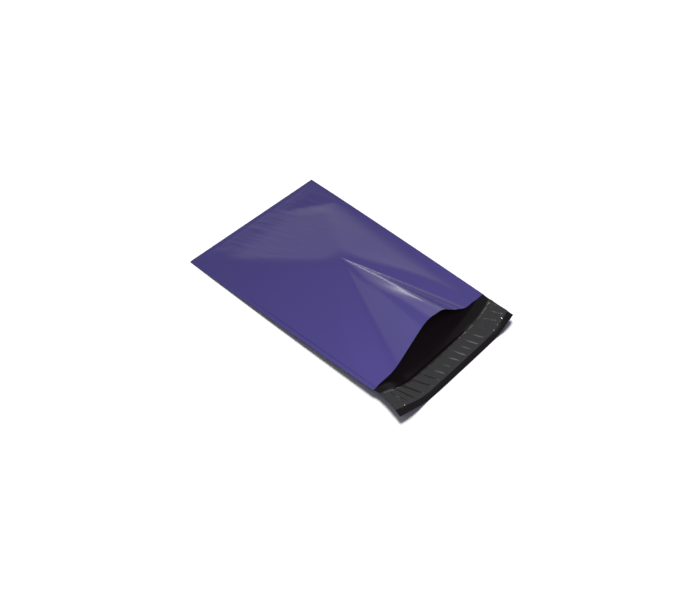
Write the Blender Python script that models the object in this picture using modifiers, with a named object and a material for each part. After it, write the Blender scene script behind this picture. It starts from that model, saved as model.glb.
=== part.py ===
"""Poly mailer bag: one web of co-extruded film, folded at the closed end and welded down both
long sides, lying empty with its mouth gaping. The back panel runs on past the mouth as a lip,
which carries a band of hot-melt adhesive under a release liner.

X runs across the bag, Y along it with the lip at +Y, and Z is up. The bag lies on Z = 0.
"""
import bpy
import bmesh
from math import exp

MM = 0.001

# Driving dimensions, in metres
BAG_WIDTH = 165.0 * MM
BODY_LENGTH = 233.0 * MM
LIP_LENGTH = 39.0 * MM
FILM = 0.06 * MM
WELD = 4.5 * MM
GAP = 0.3 * MM

# The side edges, drawn in as the mouth gapes and lifted off the table
MOUTH_PINCH = 7.2 * MM
PINCH_POWER = 1.3
LIP_FLARE = (-1.0 * MM, 4.0 * MM)
EDGE_LIFT_CLOSED = 0.6 * MM
EDGE_LIFT_MOUTH = 5.4 * MM
FLAT_SHARE = 0.55
CORNER_DRAW = 4.6 * MM

# The front panel rises as a hipped roof to a peak, and opens from there as a cone to the mouth
PEAK_X = -11.0 * MM
PEAK_ALONG = 110.0 * MM
PEAK_HEIGHT = 13.0 * MM
FOLD_FLAT = 8.0 * MM
BEYOND_PEAK_SLOPE = 0.25
FLAT_CORNER = 18.0 * MM
SIDE_SLOPES_CLOSED = (0.22, 0.175)
SIDE_SLOPES_PEAK = (0.17, 0.13)
SIDE_SLOPES_MOUTH = (0.6, 0.6)
HIP_ROUNDING = 1.6 * MM
PUFF = 1.2 * MM

# The mouth edge: a crest with a short top, two steep sides, and a low foot on either side
CREST_X = 4.5 * MM
CREST_HEIGHT = 34.4 * MM
NEAR_SLOPE = 0.62
TOP_SLOPE = 0.20
SHOULDER_X = -16.0 * MM
FAR_SLOPE = 0.73
FOOT_HEIGHT = 6.8 * MM
CREST_ROUNDING = 3.0 * MM
FOOT_ROUNDING = 5.0 * MM
MOUTH_SET_BACK = 3.2 * MM

# The closing band on the lip, measured from the mouth line
LINER_START = 14.5 * MM
LINER_END = 34.0 * MM
LINER_THICKNESS = 0.04 * MM
ADHESIVE_START = 16.5 * MM
ADHESIVE_END = 32.0 * MM
ADHESIVE_THICKNESS = 0.05 * MM
ADHESIVE_SIDE_MARGIN = 2.0 * MM

# How finely the sheets are divided
COLUMNS = 26
BODY_ROWS = 26
LIP_ROWS = 6
BAND_ROWS = 3

TOTAL_LENGTH = BODY_LENGTH + LIP_LENGTH
HALF_WIDTH = BAG_WIDTH / 2
WELD_SHARE = 1 - WELD / HALF_WIDTH


def clamp(value, low=0.0, high=1.0):
    return max(low, min(high, value))


def mix(first, second, share):
    return first + (second - first) * share


def soft_min(first, second, rounding):
    """The lower of two heights, with the crease between them rounded."""
    overlap = max(rounding - abs(first - second), 0.0)
    return min(first, second) - overlap * overlap / (4 * rounding)


def soft_max(first, second, rounding):
    return -soft_min(-first, -second, rounding)


def half_width(side, along):
    """Half the bag's width on one side (-1 or 1) at a distance from the closed end."""
    body_share = clamp(along / BODY_LENGTH)
    lip_share = clamp((along - BODY_LENGTH) / LIP_LENGTH)
    flare = LIP_FLARE[1] if side > 0 else LIP_FLARE[0]
    return HALF_WIDTH - MOUTH_PINCH * body_share ** PINCH_POWER + flare * lip_share


def edge_lift(along):
    """Height of the side edges above the table."""
    share = clamp(along / BODY_LENGTH)
    return EDGE_LIFT_CLOSED + (EDGE_LIFT_MOUTH - EDGE_LIFT_CLOSED) * share


def back_height(across, along):
    """Height of the back panel and lip: flat on the table, and curling up to the side edges."""
    curl = clamp((abs(across) - FLAT_SHARE) / (1 - FLAT_SHARE))
    fold_curl = clamp(1 - along / FOLD_FLAT)
    curl = max(curl, fold_curl)
    return edge_lift(along) * curl * curl


def mouth_height(x):
    """Height of the front panel's free edge across the mouth."""
    near_side = CREST_HEIGHT - NEAR_SLOPE * (x - CREST_X)
    top = CREST_HEIGHT + TOP_SLOPE * (x - CREST_X)
    shoulder = CREST_HEIGHT + TOP_SLOPE * (SHOULDER_X - CREST_X)
    far_side = shoulder + FAR_SLOPE * (x - SHOULDER_X)
    tent = soft_min(soft_min(near_side, top, CREST_ROUNDING), far_side, CREST_ROUNDING)
    return soft_max(tent, FOOT_HEIGHT, FOOT_ROUNDING)


def mouth_share(along):
    """0 up to the peak, and from there evenly to 1 at the mouth."""
    return clamp((along - PEAK_ALONG) / (BODY_LENGTH - PEAK_ALONG))


def cone_height(x, along):
    """The cone of straight lines from the peak to the mouth edge."""
    share = mouth_share(along)
    if share < 0.001:
        return PEAK_HEIGHT
    mouth_x = PEAK_X + (x - PEAK_X) / share
    return mix(PEAK_HEIGHT, mouth_height(mouth_x), share)


def side_plane(x, side, along):
    """The slope that rises from one weld towards the middle."""
    body_share = clamp(along / PEAK_ALONG)
    slope = mix(SIDE_SLOPES_CLOSED[side > 0], SIDE_SLOPES_PEAK[side > 0], body_share)
    slope = mix(slope, SIDE_SLOPES_MOUTH[side > 0], mouth_share(along) ** 2)
    foot_x = WELD_SHARE * half_width(side, along) - FLAT_CORNER * (1 - body_share)
    return back_height(WELD_SHARE, along) + slope * (foot_x - side * x)


def closed_end_plane(along):
    """The slope that rises from the fold to the peak, and steeply past it."""
    rise = PEAK_HEIGHT / (PEAK_ALONG - FOLD_FLAT)
    past_peak = max(along - PEAK_ALONG, 0.0)
    return rise * (along - FOLD_FLAT) + (BEYOND_PEAK_SLOPE - rise) * past_peak


def roof_height(x, along):
    """Height of the front panel where it stands clear of the back panel."""
    sides = soft_min(side_plane(x, -1, along), side_plane(x, 1, along), HIP_ROUNDING)
    hips = soft_min(sides, closed_end_plane(along), HIP_ROUNDING)
    return soft_min(hips, cone_height(x, along), HIP_ROUNDING)


def front_point(across, along):
    """A point of the front panel, which meets the back panel at the welds and the fold."""
    side = 1 if across > 0 else -1
    x = across * half_width(side, along)
    share = abs(across) / WELD_SHARE
    near_fold = clamp(along / (2 * FOLD_FLAT))
    floor = mix(back_height(across, along), back_height(WELD_SHARE, along), near_fold)
    puffed = floor + PUFF * near_fold * (1 - share ** 6)
    height = soft_max(puffed, roof_height(x, along), HIP_ROUNDING) if share < 1 else floor
    crest_share = (mouth_height(x) - FOOT_HEIGHT) / (CREST_HEIGHT - FOOT_HEIGHT)
    set_back = MOUTH_SET_BACK * clamp(crest_share) * mouth_share(along) ** 2
    return x, along - set_back, height


def back_point(across, along):
    """A point of the back panel or, past the mouth line, of the lip."""
    side = 1 if across > 0 else -1
    x = across * half_width(side, along)
    lip_share = clamp((along - BODY_LENGTH) / LIP_LENGTH)
    draw = CORNER_DRAW * lip_share * abs(across) ** 5
    return x, along - draw, back_height(across, along)


def centred(point, lift=0.0):
    """The same point with the bag centred on the Z axis, and its underside on the table."""
    x, y, z = point
    return x, y - TOTAL_LENGTH / 2, z + FILM / 2 + lift


def cuts(first, last, count):
    """Evenly spaced values, both ends included."""
    return [first + (last - first) * i / count for i in range(count + 1)]


def sheet(columns, rows, place):
    """A grid laid over columns and rows, each of its points put where place says."""
    bm = bmesh.new()
    bmesh.ops.create_grid(bm, x_segments=len(columns) - 1, y_segments=len(rows) - 1, size=1.0)
    for vert in bm.verts:
        column = round((vert.co.x + 1) / 2 * (len(columns) - 1))
        row = round((vert.co.y + 1) / 2 * (len(rows) - 1))
        vert.co = place(columns[column], rows[row])
    return bm


def add_object(name, bm, collection, material):
    mesh = bpy.data.meshes.new(name)
    bm.to_mesh(mesh)
    bm.free()
    mesh.shade_smooth()
    mesh.materials.append(material)
    obj = bpy.data.objects.new(name, mesh)
    collection.objects.link(obj)
    return obj


def give_thickness(obj, thickness, mode):
    solidify = obj.modifiers.new("thickness", "SOLIDIFY")
    solidify.solidify_mode = mode
    solidify.thickness = thickness
    solidify.offset = 0.0
    solidify.use_rim = True
    if mode == "NON_MANIFOLD":
        solidify.nonmanifold_thickness_mode = "FIXED"
        solidify.nonmanifold_merge_threshold = 0.00001
    return solidify


def plastic(name, colour, roughness):
    material = bpy.data.materials.new(name)
    material.use_nodes = True
    shader = material.node_tree.nodes["Principled BSDF"]
    shader.inputs["Base Color"].default_value = (*colour, 1.0)
    shader.inputs["Roughness"].default_value = roughness
    shader.inputs["Metallic"].default_value = 0.0
    material.diffuse_color = (*colour, 1.0)
    return material


def film_columns():
    """Stations across the bag, with one on each weld line."""
    inner = cuts(-WELD_SHARE, WELD_SHARE, COLUMNS - 2)
    return [-1.0] + inner + [1.0]


def body_rows():
    """Stations along the body, closer together by the fold."""
    near_fold = cuts(0.0, 2 * FOLD_FLAT, 5)
    rest = cuts(2 * FOLD_FLAT, BODY_LENGTH, BODY_ROWS - 5)
    return near_fold + rest[1:]


def make_bag_body(collection):
    """The film: a back sheet with its lip, and a front sheet joined to it at fold and welds."""
    lip_rows = cuts(BODY_LENGTH, TOTAL_LENGTH, LIP_ROWS)
    bm = sheet(film_columns(), body_rows() + lip_rows[1:], lambda s, y: centred(back_point(s, y)))
    front = sheet(film_columns()[1:-1], body_rows(), lambda s, y: centred(front_point(s, y)))
    front_mesh = bpy.data.meshes.new("front_sheet")
    front.to_mesh(front_mesh)
    front.free()
    bm.from_mesh(front_mesh)
    bpy.data.meshes.remove(front_mesh)
    bmesh.ops.remove_doubles(bm, verts=bm.verts, dist=0.00001)
    film = plastic("violet_film", (0.084, 0.070, 0.262), 0.28)
    body = add_object("bag_body", bm, collection, film)
    give_thickness(body, FILM, "NON_MANIFOLD")
    return body


def make_band(name, start, end, side_margin, lift, thickness, material, collection):
    """A strip laid across the lip."""
    share = 1 - side_margin / half_width(1, BODY_LENGTH)
    columns = cuts(-share, share, COLUMNS)
    rows = cuts(BODY_LENGTH + start, BODY_LENGTH + end, BAND_ROWS)
    bm = sheet(columns, rows, lambda s, y: centred(back_point(s, y), lift))
    band = add_object(name, bm, collection, material)
    give_thickness(band, thickness, "EXTRUDE")
    return band


def main():
    for obj in list(bpy.data.objects):
        bpy.data.objects.remove(obj, do_unlink=True)
    collection = bpy.data.collections.new("poly_mailer_bag")
    bpy.context.scene.collection.children.link(collection)

    make_bag_body(collection)
    adhesive_lift = FILM / 2 + GAP + ADHESIVE_THICKNESS / 2
    make_band("adhesive_strip", ADHESIVE_START, ADHESIVE_END, ADHESIVE_SIDE_MARGIN, adhesive_lift,
              ADHESIVE_THICKNESS, plastic("hot_melt", (0.30, 0.28, 0.24), 0.35), collection)
    liner_lift = adhesive_lift + ADHESIVE_THICKNESS / 2 + GAP + LINER_THICKNESS / 2
    make_band("release_liner", LINER_START, LINER_END, 0.0, liner_lift,
              LINER_THICKNESS, plastic("clear_liner", (0.35, 0.35, 0.36), 0.25), collection)


main()
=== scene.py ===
"""Poly mailer bag, empty and lying with its mouth gaping: co-extruded film, violet outside and
black inside, with a puckered release liner over the adhesive on its lip.

X runs across the bag, Y along it with the lip at +Y, and Z is up. The bag lies on Z = 0.
"""
from math import cos, exp, pi, radians, sin

import bmesh
import bpy
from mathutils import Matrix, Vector, noise


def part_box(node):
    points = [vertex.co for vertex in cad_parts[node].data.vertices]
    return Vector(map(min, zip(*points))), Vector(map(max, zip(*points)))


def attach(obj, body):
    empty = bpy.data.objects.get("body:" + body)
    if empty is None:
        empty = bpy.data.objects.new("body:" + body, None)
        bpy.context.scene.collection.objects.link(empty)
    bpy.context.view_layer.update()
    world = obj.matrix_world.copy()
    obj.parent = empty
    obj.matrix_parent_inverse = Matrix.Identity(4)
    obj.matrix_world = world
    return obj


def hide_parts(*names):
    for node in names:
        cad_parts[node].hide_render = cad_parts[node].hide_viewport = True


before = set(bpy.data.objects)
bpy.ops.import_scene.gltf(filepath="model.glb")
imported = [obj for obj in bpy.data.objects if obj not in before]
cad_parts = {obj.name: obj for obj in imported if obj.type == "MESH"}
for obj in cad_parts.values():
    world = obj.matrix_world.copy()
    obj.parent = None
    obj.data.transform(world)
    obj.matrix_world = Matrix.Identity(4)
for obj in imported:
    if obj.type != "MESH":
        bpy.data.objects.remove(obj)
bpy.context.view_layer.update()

bl_info = {
    "name": "Poly Mailer Bag",
    "version": (1, 0, 0),
    "blender": (4, 5, 0),
    "location": "View3D > Sidebar > Mailer",
    "description": "A violet mailing bag with a gaping mouth and a puckered closing band",
    "category": "Object",
}

MM = 0.001
FILM_LOW, FILM_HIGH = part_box("bag_body")

# The side edges, drawn in as the mouth gapes and lifted off the table
PINCH_POWER = 1.3
LIP_FLARE = (-1.0 * MM, 4.0 * MM)
LIP_SIDE_BOW = (0.5 * MM, 3.0 * MM)
EDGE_LIFT_CLOSED = 0.6 * MM
FLAT_SHARE = 0.55
CORNER_DRAW = (7.0 * MM, 9.5 * MM)

# The front panel rises as a hipped roof to a peak, and opens from there as a cone to the mouth
PEAK_X = -13.0 * MM
PEAK_ALONG = 110.0 * MM
PEAK_HEIGHT = 13.0 * MM
FOLD_FLAT = 8.0 * MM
BEYOND_PEAK_SLOPE = 0.25
FLAT_CORNER = (0.0, 18.0 * MM)
FLAT_MARGIN = (8.0 * MM, 0.0)
PRESSED_CORNER = 45.0 * MM
PRESSED_SLANT = 0.62
PRESSED_SLOPE = 0.30
SIDE_SLOPES_CLOSED = (0.22, 0.175)
SIDE_SLOPES_PEAK = (0.21, 0.13)
SIDE_SLOPES_MOUTH = (0.6, 0.6)
HIP_ROUNDING = 1.6 * MM
PUFF = 0.2 * MM
CLEARANCE = 0.2 * MM

# The mouth edge: a crest with a short top, two steep sides, and a low foot on either side
CREST_X = 4.5 * MM
NEAR_SLOPE = 0.62
TOP_SLOPE = 0.17
SHOULDER_X = -17.5 * MM
SHOULDER_ROUNDING = 3.5 * MM
FAR_SLOPE = 0.84
BENCH_X = -33.0 * MM
BENCH_HEIGHT = 17.3 * MM
BENCH_SLOPE = 0.50
BENCH_END_X = -38.0 * MM
FOOT_SLOPE = 0.75
BENCH_ROUNDING = 1.0 * MM
FOOT_HEIGHT = 6.8 * MM
CREST_ROUNDING = 6.5 * MM
FOOT_ROUNDING = 5.0 * MM
MOUTH_SET_BACK = 3.2 * MM

# Small unevenness of the film: the wave of the lip's free edge, creases near the fold with where
# they fade and over what length, and puckers that fade away from the welds
LIP_WAVE = 0.9 * MM
CRINKLE = 0.16 * MM
CRINKLE_FADE = 45.0 * MM
CRINKLE_FADE_LENGTH = 50.0 * MM
WELD_PUCKER = 0.22 * MM
WELD_PUCKER_LENGTH = 5.5 * MM
WELD_PUCKER_REACH = 0.05

# The band's grooves: their width and wander as shares of their spacing, their slant, and their
# depth as a share of the puckers' height, with how much it varies. The lip is gathered evenly up
# to the plateau and not at all past the fade, both as shares of the liner's half width, and it
# lies flat past its weld line, from which it rises over the seating length.
GROOVE_WIDTH = 0.19
GROOVE_SLANT = 0.32
GROOVE_WANDER = 0.35
GROOVE_DEPTH = 0.75
GROOVE_SPREAD = 0.6
BAND_PLATEAU = 0.8
BAND_FADE = 1.3
WELDED_END = 5.0 * MM
SEATING_LENGTH = 9.0 * MM

# The liner's crumples along it and at its two ends, where each end's crumples start and the length
# over which they grow, and how far the layers on the lip span its grooves
CRUMPLE = 0.14 * MM
FAR_CRUMPLE = 1.3 * MM
NEAR_CRUMPLE = 0.9 * MM
FAR_CRUMPLE_FROM = (0.56, 0.16)
NEAR_CRUMPLE_FROM = (0.78, 0.12)
ADHESIVE_BRIDGE = 0.15
LINER_BRIDGE = 0.30

# The pale wall behind the bag: its heading, the cosine of its half width, the sines between which
# its top edge fades, and how steeply that edge falls away towards -X
WALL_HEADING = radians(347)
WALL_EDGE = cos(radians(52))
WALL_SOFTNESS = 0.06
WALL_TOP = (0.575, 0.635)
WALL_FALL = 0.21
WALL_FALL_FROM = -0.46
DIM_ROOM = (0.15, 0.15, 0.155, 1.0)
PALE_WALL = (0.80, 0.80, 0.82, 1.0)
BACKDROP = (0.96, 0.96, 0.965, 1.0)

# The lights: heading, elevation and distance of each, and its width and height
BACK_LIGHT = (radians(304), radians(1.5), 0.8)
BACK_LIGHT_SIZE = (0.16, 0.11)
BACK_LIGHT_TARGET = (0.0, 0.0, 0.02)
MAIN_LIGHT = (radians(160), radians(56), 0.62)
MAIN_LIGHT_SIZE = (0.4, 0.4)
MAIN_LIGHT_TARGET = (0.04, 0.08, 0.0)
SUN_FROM = (radians(313), radians(52))
SUN_SPREAD = radians(25)
FLOOR_RADIUS = 12.0
CAMERA_TARGET = (11.6 * MM, 9.6 * MM, 0.0)

# How finely the sheets are divided
COLUMNS = 150
WELD_COLUMNS = 3
BODY_ROWS = 108
LIP_ROWS = 56
BAND_COLUMNS = 340
BAND_ROWS = 32


class MailerShape(bpy.types.PropertyGroup):
    """Sizes of the bag."""

    bag_width: bpy.props.FloatProperty(
        name="Bag width", description="Width of the flat bag over its side welds",
        default=FILM_HIGH.x - FILM_LOW.x, min=0.05, unit="LENGTH")
    total_length: bpy.props.FloatProperty(
        name="Length with lip", description="From the fold to the free edge of the lip",
        default=FILM_HIGH.y - FILM_LOW.y, min=0.08, unit="LENGTH")
    lip_length: bpy.props.FloatProperty(
        name="Lip length", description="How far the back panel runs on past the mouth",
        default=39.0 * MM, min=0.0, unit="LENGTH")
    film: bpy.props.FloatProperty(
        name="Film thickness", description="Thickness of one layer of film",
        default=0.06 * MM, min=0.00001, precision=5, unit="LENGTH")
    weld: bpy.props.FloatProperty(
        name="Weld width", description="Width of the side welds",
        default=4.5 * MM, min=0.0, unit="LENGTH")
    crest_height: bpy.props.FloatProperty(
        name="Mouth height", description="How high the mouth gapes",
        default=34.4 * MM, min=0.01, unit="LENGTH")
    mouth_pinch: bpy.props.FloatProperty(
        name="Mouth pinch", description="How far each side edge is drawn in at the mouth",
        default=7.2 * MM, min=0.0, unit="LENGTH")
    edge_lift: bpy.props.FloatProperty(
        name="Edge lift", description="How far the side edges lift off the table at the mouth",
        default=5.4 * MM, min=0.0, unit="LENGTH")


class MailerBand(bpy.types.PropertyGroup):
    """The closing band across the lip."""

    liner_start: bpy.props.FloatProperty(
        name="Liner start", description="From the mouth line to the near edge of the liner",
        default=14.5 * MM, min=0.0, unit="LENGTH")
    liner_width: bpy.props.FloatProperty(
        name="Liner width", description="Width of the release liner",
        default=19.5 * MM, min=0.005, unit="LENGTH")
    liner_thickness: bpy.props.FloatProperty(
        name="Liner thickness", description="Thickness of the release liner",
        default=0.04 * MM, min=0.00001, precision=5, unit="LENGTH")
    adhesive_margin: bpy.props.FloatProperty(
        name="Adhesive margin", description="How far the liner overlaps the adhesive all round",
        default=2.0 * MM, min=0.0, unit="LENGTH")
    adhesive_thickness: bpy.props.FloatProperty(
        name="Adhesive thickness", description="Thickness of the hot-melt adhesive",
        default=0.05 * MM, min=0.00001, precision=5, unit="LENGTH")
    pucker_spacing: bpy.props.FloatProperty(
        name="Pucker spacing", description="From one pucker of the band to the next",
        default=9.4 * MM, min=0.002, unit="LENGTH")
    pucker_height: bpy.props.FloatProperty(
        name="Pucker height", description="Height of the puckers in the middle of the band",
        default=1.2 * MM, min=0.0, unit="LENGTH")


class MailerFinish(bpy.types.PropertyGroup):
    """Colours and gloss."""

    outside: bpy.props.FloatVectorProperty(
        name="Outside", description="Colour of the outer layer of the film",
        default=(0.062, 0.050, 0.205), min=0.0, max=1.0, subtype="COLOR")
    inside: bpy.props.FloatVectorProperty(
        name="Inside", description="Colour of the inner layer of the film",
        default=(0.0060, 0.0040, 0.0052), min=0.0, max=1.0, subtype="COLOR")
    film_roughness: bpy.props.FloatProperty(
        name="Film roughness", description="Roughness of the outer layer",
        default=0.14, min=0.0, max=1.0, subtype="FACTOR")
    liner: bpy.props.FloatVectorProperty(
        name="Liner", description="Colour of the release liner",
        default=(0.048, 0.048, 0.050), min=0.0, max=1.0, subtype="COLOR")
    adhesive: bpy.props.FloatVectorProperty(
        name="Adhesive", description="Colour of the hot-melt adhesive",
        default=(0.16, 0.145, 0.12), min=0.0, max=1.0, subtype="COLOR")
    floor: bpy.props.FloatVectorProperty(
        name="Floor", description="Colour of the floor",
        default=(0.86, 0.86, 0.865), min=0.0, max=1.0, subtype="COLOR")


class MailerStudio(bpy.types.PropertyGroup):
    """The camera and the lights."""

    view_heading: bpy.props.FloatProperty(
        name="View heading", description="Heading the camera stands at, from -Y round by +X",
        default=radians(133.55), subtype="ANGLE")
    view_height: bpy.props.FloatProperty(
        name="View elevation", description="How steeply the camera looks down",
        default=radians(48.77), subtype="ANGLE")
    view_distance: bpy.props.FloatProperty(
        name="View distance", description="From the camera to the point it looks at",
        default=0.8194, min=0.1, unit="LENGTH")
    lens: bpy.props.FloatProperty(
        name="Lens", description="Focal length on a 36 mm sensor, in millimetres",
        default=45.32, min=10.0)
    back: bpy.props.FloatProperty(
        name="Back light", description="Brightness of the low soft box behind the bag",
        default=3.4, min=0.0)
    main: bpy.props.FloatProperty(
        name="Main light", description="Brightness of the soft box over the mouth",
        default=8.0, min=0.0)
    floor_light: bpy.props.FloatProperty(
        name="Floor light", description="Brightness of the light on the floor",
        default=4.6, min=0.0)


def clamp(value, low=0.0, high=1.0):
    return max(low, min(high, value))


def mix(first, second, share):
    return first + (second - first) * share


def ease(share):
    """0 to 1 with a level start and finish."""
    share = clamp(share)
    return share * share * (3 - 2 * share)


def soft_min(first, second, rounding):
    """The lower of two heights, with the crease between them rounded."""
    overlap = max(rounding - abs(first - second), 0.0)
    return min(first, second) - overlap * overlap / (4 * rounding)


def soft_max(first, second, rounding):
    return -soft_min(-first, -second, rounding)


def cuts(first, last, count):
    """Evenly spaced values, both ends included."""
    return [first + (last - first) * i / count for i in range(count + 1)]


def grain(x, y, seed):
    """Smooth noise from -1 to 1 with features about one unit across."""
    return noise.noise(Vector((x, y, seed)))


class BagForm:
    """Where each point of the flat web lies on the gaping bag.

    A station is a share across, from -1 on the far weld's edge to 1 on the near one's, and a
    distance along from the fold.
    """

    def __init__(self, shape, band):
        self.half = shape.bag_width / 2
        self.total = shape.total_length
        self.lip = shape.lip_length
        self.body = shape.total_length - shape.lip_length
        self.film = shape.film
        self.weld_share = 1 - shape.weld / self.half
        self.crest = shape.crest_height
        self.pinch = shape.mouth_pinch
        self.lift = shape.edge_lift
        self.band_middle = band.liner_start + band.liner_width / 2
        self.band_reach = band.liner_width / 2
        self.spacing = band.pucker_spacing
        self.pucker = band.pucker_height

    def lip_share(self, along):
        return clamp((along - self.body) / self.lip)

    def half_width(self, side, along):
        """Half the bag's width on one side (-1 or 1) at a distance from the closed end."""
        near = side > 0
        share = self.lip_share(along)
        pinch = self.pinch * clamp(along / self.body) ** PINCH_POWER
        bow = LIP_SIDE_BOW[near] * 4 * share * (1 - share)
        return self.half - pinch + LIP_FLARE[near] * share - bow

    def edge_lift(self, along):
        """Height of the side edges above the table."""
        return mix(EDGE_LIFT_CLOSED, self.lift, clamp(along / self.body))

    def back_height(self, across, along):
        """Height of the back panel and lip: flat, and curling up to the side edges."""
        curl = ease((abs(across) - FLAT_SHARE) / (self.weld_share - FLAT_SHARE))
        curl = max(curl, ease(1 - along / FOLD_FLAT))
        wave = ease(3 * self.lip_share(along) - 1.6) * (1 - abs(across) ** 4)
        wave *= 0.5 + 0.5 * grain(across * 2.3, 0.0, 6.2)
        return self.edge_lift(along) * curl + LIP_WAVE * wave

    def unevenness(self, across, along):
        """Creases pressed into the front panel by its folding, and puckers along its welds."""
        x = across * self.half
        inward = self.weld_share - abs(across)
        faded = ease((along - CRINKLE_FADE) / CRINKLE_FADE_LENGTH)
        by_fold = ease((along - 3 * MM) / (8 * MM)) * (1 - faded)
        streaks = abs(grain((x + 0.35 * along) / (6.5 * MM), along / (26 * MM), 2.7))
        creased = by_fold * streaks * clamp(6 * inward)
        rim = exp(-(inward / WELD_PUCKER_REACH) ** 2) * ease(along / (12 * MM)) * clamp(12 * inward)
        puckered = rim * grain(along / WELD_PUCKER_LENGTH, across, 9.3)
        return CRINKLE * creased + WELD_PUCKER * puckered

    def mouth_height(self, x):
        """Height of the front panel's free edge across the mouth."""
        near_side = self.crest - NEAR_SLOPE * (x - CREST_X)
        top = self.crest + TOP_SLOPE * (x - CREST_X)
        shoulder = self.crest + TOP_SLOPE * (SHOULDER_X - CREST_X)
        far_side = shoulder + FAR_SLOPE * (x - SHOULDER_X)
        bench = BENCH_HEIGHT + BENCH_SLOPE * (x - BENCH_X)
        bench_end = BENCH_HEIGHT + BENCH_SLOPE * (BENCH_END_X - BENCH_X)
        below = bench_end + FOOT_SLOPE * (x - BENCH_END_X)
        far_side = soft_max(far_side, soft_min(bench, below, BENCH_ROUNDING), BENCH_ROUNDING)
        tent = soft_min(soft_min(near_side, top, CREST_ROUNDING), far_side, SHOULDER_ROUNDING)
        return soft_max(tent, FOOT_HEIGHT, FOOT_ROUNDING)

    def mouth_share(self, along):
        """0 up to the peak, and from there evenly to 1 at the mouth."""
        return clamp((along - PEAK_ALONG) / (self.body - PEAK_ALONG))

    def cone_height(self, x, along):
        """The cone of straight lines from the peak to the mouth edge."""
        share = self.mouth_share(along)
        if share < 0.001:
            return PEAK_HEIGHT
        return mix(PEAK_HEIGHT, self.mouth_height(PEAK_X + (x - PEAK_X) / share), share)

    def side_plane(self, x, side, along):
        """The slope that rises from one weld towards the middle."""
        body_share = clamp(along / PEAK_ALONG)
        slope = mix(SIDE_SLOPES_CLOSED[side > 0], SIDE_SLOPES_PEAK[side > 0], body_share)
        slope = mix(slope, SIDE_SLOPES_MOUTH[side > 0], self.mouth_share(along) ** 2)
        margin = FLAT_MARGIN[side > 0] + FLAT_CORNER[side > 0] * (1 - body_share)
        foot_x = self.weld_share * self.half_width(side, along) - margin
        return self.back_height(self.weld_share, along) + slope * (foot_x - side * x)

    def closed_end_plane(self, along):
        """The slope that rises from the fold to the peak, and steeply past it."""
        rise = PEAK_HEIGHT / (PEAK_ALONG - FOLD_FLAT)
        past_peak = max(along - PEAK_ALONG, 0.0)
        return rise * (along - FOLD_FLAT) + (BEYOND_PEAK_SLOPE - rise) * past_peak

    def pressed_corner(self, x, along):
        """The slope that rises from the flattened far corner of the closed end."""
        inward = self.weld_share * self.half + x
        return PRESSED_SLOPE * (along - PRESSED_CORNER + PRESSED_SLANT * inward)

    def roof_height(self, x, along):
        """Height of the front panel where it stands clear of the back panel."""
        sides = soft_min(self.side_plane(x, -1, along), self.side_plane(x, 1, along), HIP_ROUNDING)
        ends = soft_min(self.closed_end_plane(along), self.pressed_corner(x, along), HIP_ROUNDING)
        hips = soft_min(sides, ends, HIP_ROUNDING)
        return soft_min(hips, self.cone_height(x, along), HIP_ROUNDING)

    def front(self, across, along):
        """A point of the front panel, which meets the back panel at the welds and the fold."""
        x = across * self.half_width(across, along)
        share = abs(across) / self.weld_share
        beyond_fold = ease((along - FOLD_FLAT) / FOLD_FLAT)
        floor = mix(self.back_height(across, along), self.back_height(self.weld_share, along),
                    ease(along / FOLD_FLAT))
        apart = CLEARANCE * ease(along / (3 * MM)) + PUFF * beyond_fold
        puffed = floor + apart * (1 - share ** 6)
        height = floor
        if share < 1:
            height = soft_max(puffed, self.roof_height(x, along), HIP_ROUNDING)
            height += max(self.unevenness(across, along), 0.0)
        crest_share = (self.mouth_height(x) - FOOT_HEIGHT) / (self.crest - FOOT_HEIGHT)
        set_back = MOUTH_SET_BACK * clamp(crest_share) * self.mouth_share(along) ** 2
        return self.centred(x, along - set_back, height)

    def back(self, across, along):
        """A point of the back panel or, past the mouth line, of the lip."""
        x = across * self.half_width(across, along)
        share = self.lip_share(along)
        profile = (1 - (1 - share) ** 3) * (1 - 0.5 * share ** 4)
        draw = CORNER_DRAW[across > 0] * profile * abs(across) ** 5
        return self.centred(x, along - draw, self.back_height(across, along) + self.puckers(x, along))

    def puckers(self, x, along):
        """The band's puckers: grooves that gather the lip and the liner on it, between broad
        crests, and end at the weld lines."""
        y = along - self.body - self.band_middle
        reach = abs(y / self.band_reach)
        if reach >= BAND_FADE:
            return 0.0
        wander = GROOVE_WANDER * grain(x / (2.6 * self.spacing), 0.2, 4.4)
        phase = (x + GROOVE_SLANT * y) / self.spacing + wander
        groove = exp(-((phase - round(phase)) / GROOVE_WIDTH) ** 2)
        depth = GROOVE_DEPTH + GROOVE_SPREAD * grain(round(phase) * 0.73, 0.5, 7.9)
        pinched = clamp(depth * (1.15 - reach ** 2)) * groove
        seated = ease((self.half - abs(x) - WELDED_END) / SEATING_LENGTH)
        plateau = ease((BAND_FADE - reach) / (BAND_FADE - BAND_PLATEAU))
        return self.pucker * plateau * seated * (1 - pinched)

    def bridged(self, across, along, share):
        """How far a layer over the lip spans its grooves, as a share of their depth."""
        x = across * self.half_width(across, along)
        return share * (self.pucker - self.puckers(x, along))

    def centred(self, x, along, height):
        """The same point with the bag centred on the Z axis, and its underside on the table."""
        return Vector((x, along - self.total / 2, height + self.film / 2))


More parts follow.
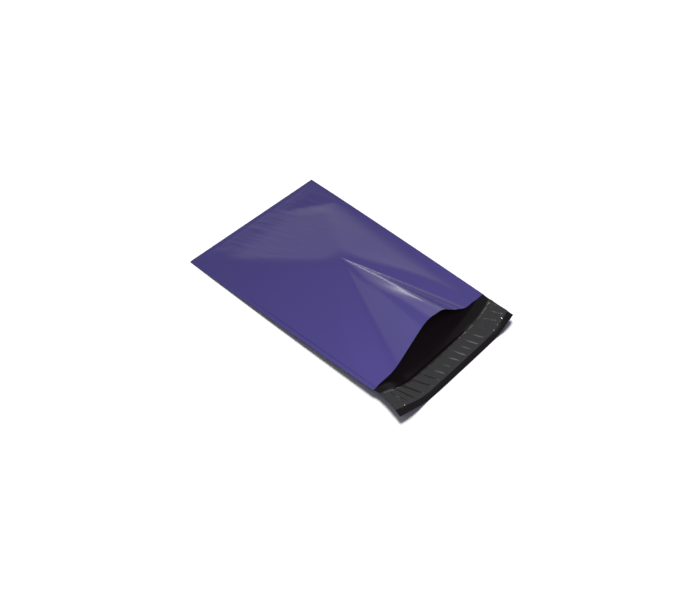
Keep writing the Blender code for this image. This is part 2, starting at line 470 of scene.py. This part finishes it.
def lay_sheet(bm, columns, rows, place, web, material=0):
    """Adds a grid of film: place gives a station's point, and web its point on the flat web."""
    made = bmesh.ops.create_grid(
        bm, x_segments=len(columns) - 1, y_segments=len(rows) - 1, size=1.0)
    stations = {}
    for vert in made["verts"]:
        column = round((vert.co.x + 1) / 2 * (len(columns) - 1))
        row = round((vert.co.y + 1) / 2 * (len(rows) - 1))
        stations[vert] = (columns[column], rows[row])
    flat = bm.loops.layers.uv.verify()
    for face in {face for vert in made["verts"] for face in vert.link_faces}:
        face.material_index = material
        face.smooth = True
        for loop in face.loops:
            loop[flat].uv = web(*stations[loop.vert])
    for vert, station in stations.items():
        vert.co = place(*station)


def add_piece(name, bm, materials):
    mesh = bpy.data.meshes.new(name)
    bm.to_mesh(mesh)
    bm.free()
    for material in materials:
        mesh.materials.append(material)
    piece = bpy.data.objects.new(name, mesh)
    bpy.context.scene.collection.objects.link(piece)
    return piece


def lit_alone(light, pieces):
    """Lets a light shine on these pieces only. The others still cast shadows."""
    lit = bpy.data.collections.new(light.name + "_lights")
    for piece in pieces:
        lit.objects.link(piece)
    light.light_linking.receiver_collection = lit


def give_thickness(piece, thickness, mode="EXTRUDE", material_offset=0):
    """Makes a sheet solid, with its cut edges sharp."""
    solidify = piece.modifiers.new("thickness", "SOLIDIFY")
    solidify.solidify_mode = mode
    solidify.thickness = thickness
    solidify.offset = 0.0
    solidify.use_rim = True
    solidify.material_offset = material_offset
    if mode == "NON_MANIFOLD":
        solidify.nonmanifold_thickness_mode = "FIXED"
        solidify.nonmanifold_merge_threshold = 0.00001
    view = bpy.context.evaluated_depsgraph_get()
    sheet = piece.data
    piece.data = bpy.data.meshes.new_from_object(piece.evaluated_get(view))
    piece.modifiers.clear()
    bpy.data.meshes.remove(sheet)
    piece.data.name = piece.name
    piece.data.set_sharp_from_angle(angle=radians(50))


class Signal:
    """A number that varies over a surface: arithmetic on it adds Math nodes."""

    def __init__(self, tree, socket):
        self.tree = tree
        self.socket = socket

    def joined(self, operation, first, second):
        node = self.tree.node("ShaderNodeMath", {"operation": operation}, {0: first, 1: second})
        return Signal(self.tree, node.outputs[0])

    def __add__(self, other):
        return self.joined("ADD", self, other)

    def __sub__(self, other):
        return self.joined("SUBTRACT", self, other)

    def __mul__(self, other):
        return self.joined("MULTIPLY", self, other)

    def __rsub__(self, other):
        return self.joined("SUBTRACT", other, self)

    __radd__ = __add__
    __rmul__ = __mul__


class Tree:
    """Builds the node tree of one material or world."""

    def __init__(self, owner):
        owner.use_nodes = True
        self.tree = owner.node_tree
        self.tree.nodes.clear()

    def node(self, kind, settings=None, inputs=None):
        """Adds a node: its settings first, then a value or a link for each socket."""
        node = self.tree.nodes.new(kind)
        for name, value in (settings or {}).items():
            if name == "stops":
                self.set_stops(node.color_ramp, value)
            else:
                setattr(node, name, value)
        for name, value in (inputs or {}).items():
            if isinstance(value, Signal):
                value = value.socket
            if isinstance(value, bpy.types.NodeSocket):
                self.tree.links.new(value, node.inputs[name])
            else:
                node.inputs[name].default_value = value
        return node

    def set_stops(self, ramp, stops):
        while len(ramp.elements) < len(stops):
            ramp.elements.new(1.0)
        for element, (place, grey) in zip(ramp.elements, stops):
            element.position = place
            element.color = (grey, grey, grey, 1.0)

    def web(self):
        """Coordinates on the flat web, in metres."""
        return self.node("ShaderNodeUVMap", {"uv_map": "UVMap"}).outputs[0]

    def split(self, vector):
        parts = self.node("ShaderNodeSeparateXYZ", {}, {0: vector}).outputs
        return [Signal(self, part) for part in parts]

    def stretched(self, vector, scale):
        """The coordinates times a size for each axis."""
        node = self.node("ShaderNodeMapping", {}, {"Vector": vector, "Scale": scale})
        return node.outputs[0]

    def noise(self, vector, scale, detail=2.0, roughness=0.5):
        node = self.node("ShaderNodeTexNoise", {}, {
            "Vector": vector, "Scale": scale, "Detail": detail, "Roughness": roughness})
        return Signal(self, node.outputs[0])

    def between(self, value, low, high):
        """0 below low, 1 above high, and smooth from one to the other."""
        node = self.node("ShaderNodeMapRange", {"interpolation_type": "SMOOTHSTEP"}, {
            "Value": value, "From Min": low, "From Max": high})
        return Signal(self, node.outputs[0])

    def blend(self, factor, first, second):
        """A colour between two colours."""
        node = self.node("ShaderNodeMix", {"data_type": "RGBA"}, {0: factor, 6: first, 7: second})
        return node.outputs[2]

    def bump(self, height, distance):
        """A normal for a relief whose height of 1 stands distance proud."""
        node = self.node("ShaderNodeBump", {}, {"Height": height, "Distance": distance})
        return node.outputs[0]

    def surface(self, inputs):
        shader = self.node("ShaderNodeBsdfPrincipled", {}, inputs)
        self.node("ShaderNodeOutputMaterial", {}, {"Surface": shader.outputs[0]})
        return shader


def tint(colour, share):
    """A colour made lighter or darker, with its alpha."""
    return tuple(clamp(part * share) for part in colour) + (1.0,)


def outer_film(finish, shape):
    """Glossy pigmented polythene: gauge bands across the web, faint waviness, crimped welds."""
    material = bpy.data.materials.new("violet_film")
    tree = Tree(material)
    web = tree.web()
    across, along = tree.split(web)[:2]
    bands = tree.noise(tree.stretched(web, (4.0, 420.0, 1.0)), 1.0, 3.0)
    clouds = tree.noise(web, 38.0, 3.0)
    scuffs = tree.noise(tree.stretched(web, (260.0, 90.0, 1.0)), 1.0, 5.0, 0.6)
    edge = across.joined("ABSOLUTE", across, 0.0)
    inner_line = shape.bag_width / 2 - shape.weld
    weld = tree.between(edge, inner_line - 0.2 * MM, inner_line + 0.2 * MM)
    fold = 1 - tree.between(along.joined("ABSOLUTE", along, 0.0), 0.0, 1.4 * MM)
    ribs = tree.node("ShaderNodeTexWave", {"bands_direction": "Y"}, {
        "Vector": web, "Scale": 190.0, "Distortion": 0.6, "Detail": 1.0})
    ribs = Signal(tree, ribs.outputs[1]) * weld

    tone = 0.55 * clouds + 0.45 * bands
    tone = tree.between(tone, 0.3, 0.7)
    colour = tree.blend(tone, tint(finish.outside, 0.93), tint(finish.outside, 1.07))
    colour = tree.blend(fold * 0.35, colour, tint(finish.outside, 1.8))
    colour = tree.blend(weld * 0.25, colour, tint(finish.outside, 0.8))
    rough = finish.film_roughness - 0.04 + 0.06 * tree.between(scuffs, 0.45, 0.75)
    rough = rough + 0.03 * bands + 0.10 * weld + 0.06 * fold
    relief = 0.6 * clouds + 0.10 * bands + 0.03 * scuffs + 0.25 * ribs - 0.3 * weld
    tree.surface({"Base Color": colour, "Roughness": rough, "IOR": 1.51,
                  "Normal": tree.bump(relief, 0.10 * MM)})
    return material


def inner_film(finish):
    """The black inner layer: less glossy, with the same gauge bands."""
    material = bpy.data.materials.new("black_lining")
    tree = Tree(material)
    web = tree.web()
    bands = tree.noise(tree.stretched(web, (4.0, 420.0, 1.0)), 1.0, 3.0)
    clouds = tree.noise(web, 60.0, 3.0)
    creases = tree.noise(tree.stretched(web, (330.0, 120.0, 1.0)), 1.0, 4.0, 0.6)
    colour = tree.blend(tree.between(clouds, 0.35, 0.65),
                        tint(finish.inside, 0.8), tint(finish.inside, 1.5))
    rough = 0.20 + 0.10 * tree.between(creases, 0.4, 0.7) + 0.03 * bands
    relief = 0.9 * clouds + 0.1 * bands + 0.5 * creases
    tree.surface({"Base Color": colour, "Roughness": rough, "IOR": 1.51,
                  "Normal": tree.bump(relief, 0.22 * MM)})
    return material


def liner_film(finish, shape):
    """Thin clear release film over the adhesive: very glossy, with painted highlights on its creases
    and streaks, and painted sheen on its crumpled far end.
    """
    material = bpy.data.materials.new("release_film")
    tree = Tree(material)
    web = tree.web()
    across = tree.split(web)[0]
    creases = tree.noise(tree.stretched(web, (620.0, 110.0, 1.0)), 1.0, 6.0, 0.65)
    clouds = tree.noise(web, 120.0, 3.0)
    half = shape.bag_width / 2
    crumpled = 1 - tree.between(across, -0.70 * half, -0.52 * half)
    welded = 1 - tree.between(across, WELDED_END - half - 0.4 * MM, WELDED_END - half + 0.4 * MM)
    crumpled = crumpled * (1 - welded)
    lines = tree.node("ShaderNodeTexWave", {"bands_direction": "X"}, {
        "Vector": web, "Scale": 240.0, "Distortion": 1.5, "Detail": 1.0, "Detail Scale": 8.0})
    lines = tree.between(Signal(tree, lines.outputs[1]), 0.86, 0.97) * welded
    # painted highlights: a mask of creases whose colour is drawn near-white below, also used for
    # roughness and alpha
    painted_crease_highlights = tree.between(creases + 0.07 * crumpled, 0.55, 0.66)
    colour = tree.blend(tree.between(clouds, 0.35, 0.65),
                        tint(finish.liner, 0.55), tint(finish.liner, 1.0))
    # painted sheen: the crumpled far end drawn lighter, standing in for the light its crinkles catch
    colour = tree.blend(crumpled * 0.5, colour, tint(finish.liner, 2.6))
    colour = tree.blend(welded * 0.8, colour, tint(finish.inside, 1.5))
    # painted highlights: streaks drawn near-white, more so on the crumpled far end
    stretched = tree.noise(tree.stretched(web, (170.0, 45.0, 1.0)), 1.0, 4.0, 0.6)
    stretched = tree.between(stretched, 0.50, 0.66)
    colour = tree.blend(stretched * (0.10 + 0.6 * crumpled), colour, tint(finish.liner, 9.0))
    # painted highlights: the creases drawn near-white, more so on the crumpled far end
    colour = tree.blend(painted_crease_highlights * (0.30 + 0.4 * crumpled), colour, tint(finish.liner, 7.0))
    colour = tree.blend(lines * 0.7, colour, tint(finish.liner, 5.0))
    rough = 0.07 + 0.08 * tree.between(clouds, 0.3, 0.7) + 0.10 * painted_crease_highlights
    alpha = 0.84 + 0.14 * painted_crease_highlights
    relief = 0.8 * creases + 0.25 * clouds + 0.3 * lines
    tree.surface({"Base Color": colour, "Roughness": rough, "IOR": 1.5,
                  "Specular IOR Level": 1.0, "Coat Weight": 1.0, "Coat Roughness": 0.05,
                  "Alpha": alpha, "Normal": tree.bump(relief, 0.10 * MM)})
    return material


def hot_melt(finish):
    """Pressure-sensitive adhesive, laid down wet and slightly ribbed."""
    material = bpy.data.materials.new("hot_melt_adhesive")
    tree = Tree(material)
    web = tree.web()
    ribs = tree.noise(tree.stretched(web, (30.0, 900.0, 1.0)), 1.0, 2.0)
    clouds = tree.noise(web, 200.0, 4.0)
    colour = tree.blend(clouds, tint(finish.adhesive, 0.8), tint(finish.adhesive, 1.2))
    tree.surface({"Base Color": colour, "Roughness": 0.28 + 0.2 * clouds, "IOR": 1.48,
                  "Normal": tree.bump(0.7 * ribs + 0.5 * clouds, 0.03 * MM)})
    return material


def pale_floor(finish):
    """A matt white table, which shows darker in the film's gloss."""
    material = bpy.data.materials.new("pale_floor")
    tree = Tree(material)
    place = tree.node("ShaderNodeTexCoord").outputs["Object"]
    clouds = tree.noise(place, 3.0, 4.0)
    mirrored = Signal(tree, tree.node("ShaderNodeLightPath").outputs["Is Glossy Ray"])
    colour = tree.blend(clouds, tint(finish.floor, 0.985), tint(finish.floor, 1.015))
    colour = tree.blend(0.7 * mirrored, colour, (0.0, 0.0, 0.0, 1.0))
    tree.surface({"Base Color": colour, "Roughness": 0.75 + 0.1 * clouds,
                  "Specular IOR Level": 0.2})
    return material


class MAILER_OT_bag_film(bpy.types.Operator):
    """Make the bag: back panel with its lip, and front panel joined to it at fold and welds"""

    bl_idname = "mailer.bag_film"
    bl_label = "Bag Film"

    def execute(self, context):
        scene = context.scene
        form = BagForm(scene.mailer_shape, scene.mailer_band)
        inner = cuts(-form.weld_share, form.weld_share, COLUMNS)
        far_weld = cuts(-1.0, -form.weld_share, WELD_COLUMNS)
        near_weld = cuts(form.weld_share, 1.0, WELD_COLUMNS)
        rows = body_rows(form)
        lip_rows = cuts(form.body, form.total, LIP_ROWS)
        bm = bmesh.new()
        lay_sheet(bm, inner, rows + lip_rows[1:], form.back,
                  lambda s, y: (s * form.half, -y), material=0)
        for weld in (far_weld, near_weld):
            lay_sheet(bm, weld, rows, form.back, lambda s, y: (s * form.half, -y), material=2)
            lay_sheet(bm, weld, lip_rows, form.back, lambda s, y: (s * form.half, -y), material=0)
        bmesh.ops.reverse_faces(bm, faces=bm.faces)
        lay_sheet(bm, inner, rows, form.front, lambda s, y: (s * form.half, y), material=0)
        bmesh.ops.remove_doubles(bm, verts=bm.verts, dist=0.00001)
        outside = outer_film(scene.mailer_finish, scene.mailer_shape)
        inside = inner_film(scene.mailer_finish)
        piece = add_piece("bag_film", bm, [outside, inside, outside, outside])
        give_thickness(piece, form.film, "NON_MANIFOLD", material_offset=1)
        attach(piece, "root")
        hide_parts("bag_body")
        return {"FINISHED"}


def body_rows(form):
    """Stations along the body, closer together by the fold."""
    rows = [0.0]
    step = 0.25 * MM
    while rows[-1] < FOLD_FLAT:
        rows.append(rows[-1] + step)
        step = min(step * 1.35, 1.8 * MM)
    return rows + cuts(rows[-1], form.body, BODY_ROWS)[1:]


def band_piece(name, form, start, end, side_margin, lift, material, crinkle):
    """A strip laid across the lip, a little above it."""
    share = 1 - side_margin / form.half
    columns = cuts(-share, share, BAND_COLUMNS)
    rows = cuts(form.body + start, form.body + end, BAND_ROWS)

    def place(across, along):
        return form.back(across, along) + Vector((0, 0, lift + crinkle(across, along)))

    bm = bmesh.new()
    lay_sheet(bm, columns, rows, place, lambda s, y: (s * form.half, -y))
    return add_piece(name, bm, [material])


class MAILER_OT_adhesive_strip(bpy.types.Operator):
    """Make the stripe of hot-melt adhesive on the lip"""

    bl_idname = "mailer.adhesive_strip"
    bl_label = "Adhesive Strip"

    def execute(self, context):
        scene = context.scene
        band = scene.mailer_band
        form = BagForm(scene.mailer_shape, band)
        start = band.liner_start + band.adhesive_margin
        end = band.liner_start + band.liner_width - band.adhesive_margin
        lift = form.film / 2 + 0.02 * MM + band.adhesive_thickness / 2
        piece = band_piece("adhesive_stripe", form, start, end, band.adhesive_margin, lift,
                           hot_melt(scene.mailer_finish),
                           lambda s, y: form.bridged(s, y, ADHESIVE_BRIDGE))
        give_thickness(piece, band.adhesive_thickness)
        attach(piece, "root")
        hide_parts("adhesive_strip")
        return {"FINISHED"}


def liner_relief(form, across, along):
    """Height of the liner's own crumples over the lip's puckers, strongest at its two ends."""
    x = across * form.half
    y = along - form.body - form.band_middle
    far_end = ease((-across - FAR_CRUMPLE_FROM[0]) / FAR_CRUMPLE_FROM[1])
    near_end = ease((across - NEAR_CRUMPLE_FROM[0]) / NEAR_CRUMPLE_FROM[1])
    fine = abs(grain((x + 0.5 * y) / (1.9 * MM), y / (7.0 * MM), 5.5))
    broad = abs(grain((x + 0.3 * y) / (3.8 * MM), y / (11.0 * MM), 1.5))
    size = CRUMPLE + FAR_CRUMPLE * far_end + NEAR_CRUMPLE * near_end
    seated = ease((form.half - abs(x) - WELDED_END) / (1.5 * MM))
    hems = clamp(1.15 - abs(y / form.band_reach) ** 6)
    crumpled = size * (0.5 * fine + broad) * seated * hems
    return crumpled + form.bridged(across, along, LINER_BRIDGE)


class MAILER_OT_release_liner(bpy.types.Operator):
    """Make the puckered release liner over the adhesive"""

    bl_idname = "mailer.release_liner"
    bl_label = "Release Liner"

    def execute(self, context):
        scene = context.scene
        band = scene.mailer_band
        form = BagForm(scene.mailer_shape, band)
        lift = form.film / 2 + 0.04 * MM + band.adhesive_thickness + band.liner_thickness / 2
        piece = band_piece("liner_strip", form, band.liner_start,
                           band.liner_start + band.liner_width, 0.0, lift,
                           liner_film(scene.mailer_finish, scene.mailer_shape),
                           lambda s, y: liner_relief(form, s, y))
        give_thickness(piece, band.liner_thickness)
        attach(piece, "root")
        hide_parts("release_liner")
        return {"FINISHED"}


def heading_vector(heading, elevation):
    """Unit vector to a heading, counted from -Y round by +X, and an elevation."""
    return Vector((sin(heading) * cos(elevation), -cos(heading) * cos(elevation), sin(elevation)))


def aimed(obj, place, target):
    """Puts a camera or light at place, looking at target."""
    obj.location = place
    obj.rotation_euler = (target - place).to_track_quat("-Z", "Y").to_euler()


def soft_box(name, place, size, brightness, target):
    """An area light of a given brightness, unseen by the camera."""
    heading, elevation, distance = place
    target = Vector(target)
    light = bpy.data.lights.new(name, "AREA")
    light.shape = "RECTANGLE"
    light.size, light.size_y = size
    light.energy = brightness * pi * size[0] * size[1]
    box = bpy.data.objects.new(name, light)
    bpy.context.scene.collection.objects.link(box)
    aimed(box, target + distance * heading_vector(heading, elevation), target)
    box.visible_camera = False
    return box


def studio_world(world):
    """A dim room with one pale wall behind the bag for the gloss to show."""
    tree = Tree(world)
    direction = tree.node("ShaderNodeTexCoord").outputs["Generated"]
    x, y, height = tree.split(direction)
    toward = sin(WALL_HEADING) * x - cos(WALL_HEADING) * y
    wall = tree.between(toward, WALL_EDGE - WALL_SOFTNESS, WALL_EDGE + WALL_SOFTNESS)
    lowered = WALL_FALL * (x.joined("MINIMUM", x, WALL_FALL_FROM) - WALL_FALL_FROM)
    wall = wall * (1 - tree.between(height - lowered, *WALL_TOP))
    lit = tree.blend(wall, DIM_ROOM, PALE_WALL)
    seen = tree.node("ShaderNodeLightPath").outputs["Is Camera Ray"]
    colour = tree.blend(seen, lit, BACKDROP)
    back = tree.node("ShaderNodeBackground", {}, {"Color": colour, "Strength": 1.0})
    tree.node("ShaderNodeOutputWorld", {}, {"Surface": back.outputs[0]})


class MAILER_OT_stage(bpy.types.Operator):
    """Set up the pale floor, the soft lights and the camera"""

    bl_idname = "mailer.stage"
    bl_label = "Stage"

    def execute(self, context):
        scene = context.scene
        studio = scene.mailer_studio
        bm = bmesh.new()
        bmesh.ops.create_circle(bm, cap_ends=True, segments=64, radius=FLOOR_RADIUS)
        floor = add_piece("floor", bm, [pale_floor(scene.mailer_finish)])

        back = soft_box("back_light", BACK_LIGHT, BACK_LIGHT_SIZE, studio.back, BACK_LIGHT_TARGET)
        main = soft_box("main_light", MAIN_LIGHT, MAIN_LIGHT_SIZE, studio.main, MAIN_LIGHT_TARGET)
        pieces = [o for o in scene.objects if o.type == "MESH" and o != floor]
        lit_alone(main, pieces)
        lit_alone(back, pieces)
        sun = bpy.data.objects.new("floor_light", bpy.data.lights.new("floor_light", "SUN"))
        sun.data.energy = studio.floor_light
        sun.data.angle = SUN_SPREAD
        scene.collection.objects.link(sun)
        aimed(sun, heading_vector(*SUN_FROM), Vector((0, 0, 0)))
        lit_alone(sun, [floor])
        world = bpy.data.worlds.new("studio")
        studio_world(world)
        scene.world = world

        camera = bpy.data.objects.new("camera", bpy.data.cameras.new("camera"))
        scene.collection.objects.link(camera)
        target = Vector(CAMERA_TARGET)
        reach = studio.view_distance * heading_vector(studio.view_heading, studio.view_height)
        aimed(camera, target + reach, target)
        camera.data.sensor_width = 36.0
        camera.data.lens = studio.lens
        camera.data.clip_start = 0.01
        scene.camera = camera
        scene.view_settings.view_transform = "Standard"
        return {"FINISHED"}


class MAILER_PT_panel(bpy.types.Panel):
    """Lists the steps that make the bag"""

    bl_idname = "MAILER_PT_panel"
    bl_label = "Poly Mailer Bag"
    bl_space_type = "VIEW_3D"
    bl_region_type = "UI"
    bl_category = "Mailer"

    def draw(self, context):
        for operator in OPERATORS:
            self.layout.operator(operator.bl_idname)
        for name in SETTINGS:
            box = self.layout.box()
            group = getattr(context.scene, name)
            for field in group.__annotations__:
                box.prop(group, field)


SETTINGS = {
    "mailer_shape": MailerShape,
    "mailer_band": MailerBand,
    "mailer_finish": MailerFinish,
    "mailer_studio": MailerStudio,
}
OPERATORS = (MAILER_OT_bag_film, MAILER_OT_adhesive_strip, MAILER_OT_release_liner,
             MAILER_OT_stage)


def register():
    for cls in (*SETTINGS.values(), *OPERATORS, MAILER_PT_panel):
        bpy.utils.register_class(cls)
    for name, group in SETTINGS.items():
        setattr(bpy.types.Scene, name, bpy.props.PointerProperty(type=group))


def unregister():
    for name in SETTINGS:
        delattr(bpy.types.Scene, name)
    for cls in (MAILER_PT_panel, *OPERATORS, *SETTINGS.values()):
        bpy.utils.unregister_class(cls)


def main():
    register()
    bpy.ops.mailer.bag_film()
    bpy.ops.mailer.adhesive_strip()
    bpy.ops.mailer.release_liner()
    bpy.ops.mailer.stage()
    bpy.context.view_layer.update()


if __name__ == "__main__":
    main()
